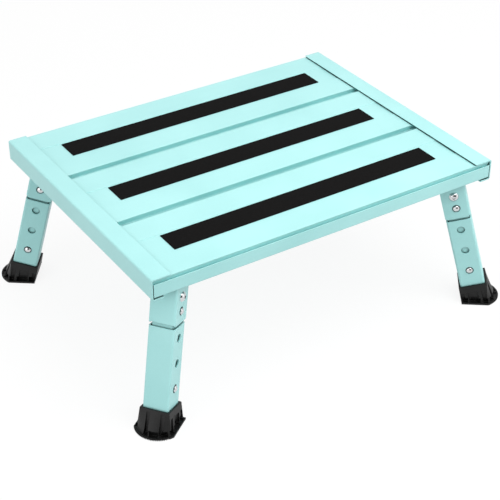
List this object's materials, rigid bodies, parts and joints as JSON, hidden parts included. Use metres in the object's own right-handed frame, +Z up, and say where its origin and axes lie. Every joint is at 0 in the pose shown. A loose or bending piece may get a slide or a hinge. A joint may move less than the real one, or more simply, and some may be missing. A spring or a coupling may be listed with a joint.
{
  "type": "caravan entry step",
  "caption": "Slatted aluminium entry step with grip tapes, on splayed folding legs with telescopic feet and rubber boots.",
  "frame": {"origin": "on the ground, under the middle of the platform", "axes": "+X along the planks, +Y to the rear, +Z up"},
  "size_m": [0.5396, 0.429, 0.2039],
  "materials": {
    "plank_paint": "satin powder coat on aluminium",
    "rail_paint": "satin powder coat on aluminium",
    "leg_paint": "satin powder coat on aluminium",
    "grip_tape": "gritted adhesive tape",
    "boot_rubber": "moulded rubber",
    "bright_steel": "bright plated steel",
    "spring_steel": "spring steel strip",
    "rivet": "plain aluminium"
  },
  "bodies": {
    "platform": {"bracket_rivets_front_left": "rivet", "bracket_rivets_front_right": "rivet", "bracket_rivets_rear_left": "rivet", "bracket_rivets_rear_right": "rivet", "corner_bracket_front_left": "leg_paint", "corner_bracket_front_right": "leg_paint", "corner_bracket_rear_left": "leg_paint", "corner_bracket_rear_right": "leg_paint", "front_grip_tape": "grip_tape", "front_plank": "plank_paint", "left_rail": "rail_paint", "left_rail_rivets": "rivet", "middle_grip_tape": "grip_tape", "middle_plank": "plank_paint", "pivot_bolt_front_left": "bright_steel", "pivot_bolt_front_right": "bright_steel", "pivot_bolt_rear_left": "bright_steel", "pivot_bolt_rear_right": "bright_steel", "pivot_nut_front_left": "bright_steel", "pivot_nut_front_right": "bright_steel", "pivot_nut_rear_left": "bright_steel", "pivot_nut_rear_right": "bright_steel", "rear_grip_tape": "grip_tape", "rear_plank": "plank_paint", "right_rail": "rail_paint", "right_rail_rivets": "rivet"},
    "leg_front_left": {"inner_tube_front_left": "leg_paint", "fold_spring_front_left": "spring_steel", "height_spring_front_left": "spring_steel"},
    "foot_front_left": {"outer_tube_front_left": "leg_paint", "rubber_boot_front_left": "boot_rubber"},
    "fold_button_front_left": {"fold_button_front_left": "bright_steel"},
    "height_button_front_left": {"height_button_front_left": "bright_steel"},
    "leg_front_right": {"inner_tube_front_right": "leg_paint", "fold_spring_front_right": "spring_steel", "height_spring_front_right": "spring_steel"},
    "foot_front_right": {"outer_tube_front_right": "leg_paint", "rubber_boot_front_right": "boot_rubber"},
    "fold_button_front_right": {"fold_button_front_right": "bright_steel"},
    "height_button_front_right": {"height_button_front_right": "bright_steel"},
    "leg_rear_left": {"inner_tube_rear_left": "leg_paint", "fold_spring_rear_left": "spring_steel", "height_spring_rear_left": "spring_steel"},
    "foot_rear_left": {"outer_tube_rear_left": "leg_paint", "rubber_boot_rear_left": "boot_rubber"},
    "fold_button_rear_left": {"fold_button_rear_left": "bright_steel"},
    "height_button_rear_left": {"height_button_rear_left": "bright_steel"},
    "leg_rear_right": {"inner_tube_rear_right": "leg_paint", "fold_spring_rear_right": "spring_steel", "height_spring_rear_right": "spring_steel"},
    "foot_rear_right": {"outer_tube_rear_right": "leg_paint", "rubber_boot_rear_right": "boot_rubber"},
    "fold_button_rear_right": {"fold_button_rear_right": "bright_steel"},
    "height_button_rear_right": {"height_button_rear_right": "bright_steel"}
  },
  "joints": [
    {"name": "leg_fold_front_left", "type": "hinge", "parent": "platform", "child": "leg_front_left", "pos_m": [-0.20615, -0.15954, 0.15803], "axis": [0.5962, -0.8028, 0], "range_deg": [0, 105], "deforming": ["fold_button_front_left"]},
    {"name": "leg_height_front_left", "type": "slide", "parent": "leg_front_left", "child": "foot_front_left", "axis": [-0.2078, -0.1543, -0.9659], "range_m": [0, 0.0634], "deforming": ["height_button_front_left"]},
    {"name": "fold_button_press_front_left", "type": "slide", "parent": "leg_front_left", "child": "fold_button_front_left", "axis": [-0.5962, 0.8028, 0], "range_m": [0, 0.005], "stiffness_N_per_m": 300, "springref_m": -0.015, "deforming": ["fold_spring_front_left"]},
    {"name": "height_button_press_front_left", "type": "slide", "parent": "leg_front_left", "child": "height_button_front_left", "axis": [-0.5962, 0.8028, 0], "range_m": [0, 0.005], "stiffness_N_per_m": 300, "springref_m": -0.015, "deforming": ["height_spring_front_left"]},
    {"name": "leg_fold_front_right", "type": "hinge", "parent": "platform", "child": "leg_front_right", "pos_m": [0.20615, -0.15954, 0.15803], "axis": [0.5962, 0.8028, 0], "range_deg": [0, 105], "deforming": ["fold_button_front_right"]},
    {"name": "leg_height_front_right", "type": "slide", "parent": "leg_front_right", "child": "foot_front_right", "axis": [0.2078, -0.1543, -0.9659], "range_m": [0, 0.0634], "deforming": ["height_button_front_right"]},
    {"name": "fold_button_press_front_right", "type": "slide", "parent": "leg_front_right", "child": "fold_button_front_right", "axis": [0.5962, 0.8028, 0], "range_m": [0, 0.005], "stiffness_N_per_m": 300, "springref_m": -0.015, "deforming": ["fold_spring_front_right"]},
    {"name": "height_button_press_front_right", "type": "slide", "parent": "leg_front_right", "child": "height_button_front_right", "axis": [0.5962, 0.8028, 0], "range_m": [0, 0.005], "stiffness_N_per_m": 300, "springref_m": -0.015, "deforming": ["height_spring_front_right"]},
    {"name": "leg_fold_rear_left", "type": "hinge", "parent": "platform", "child": "leg_rear_left", "pos_m": [-0.20615, 0.15954, 0.15803], "axis": [-0.5962, -0.8028, 0], "range_deg": [0, 105], "deforming": ["fold_button_rear_left"]},
    {"name": "leg_height_rear_left", "type": "slide", "parent": "leg_rear_left", "child": "foot_rear_left", "axis": [-0.2078, 0.1543, -0.9659], "range_m": [0, 0.0634], "deforming": ["height_button_rear_left"]},
    {"name": "fold_button_press_rear_left", "type": "slide", "parent": "leg_rear_left", "child": "fold_button_rear_left", "axis": [0.5962, 0.8028, 0], "range_m": [0, 0.005], "stiffness_N_per_m": 300, "springref_m": -0.015, "deforming": ["fold_spring_rear_left"]},
    {"name": "height_button_press_rear_left", "type": "slide", "parent": "leg_rear_left", "child": "height_button_rear_left", "axis": [0.5962, 0.8028, 0], "range_m": [0, 0.005], "stiffness_N_per_m": 300, "springref_m": -0.015, "deforming": ["height_spring_rear_left"]},
    {"name": "leg_fold_rear_right", "type": "hinge", "parent": "platform", "child": "leg_rear_right", "pos_m": [0.20615, 0.15954, 0.15803], "axis": [-0.5962, 0.8028, 0], "range_deg": [0, 105], "deforming": ["fold_button_rear_right"]},
    {"name": "leg_height_rear_right", "type": "slide", "parent": "leg_rear_right", "child": "foot_rear_right", "axis": [0.2078, 0.1543, -0.9659], "range_m": [0, 0.0634], "deforming": ["height_button_rear_right"]},
    {"name": "fold_button_press_rear_right", "type": "slide", "parent": "leg_rear_right", "child": "fold_button_rear_right", "axis": [-0.5962, 0.8028, 0], "range_m": [0, 0.005], "stiffness_N_per_m": 300, "springref_m": -0.015, "deforming": ["fold_spring_rear_right"]},
    {"name": "height_button_press_rear_right", "type": "slide", "parent": "leg_rear_right", "child": "height_button_rear_right", "axis": [-0.5962, 0.8028, 0], "range_m": [0, 0.005], "stiffness_N_per_m": 300, "springref_m": -0.015, "deforming": ["height_spring_rear_right"]}
  ]
}
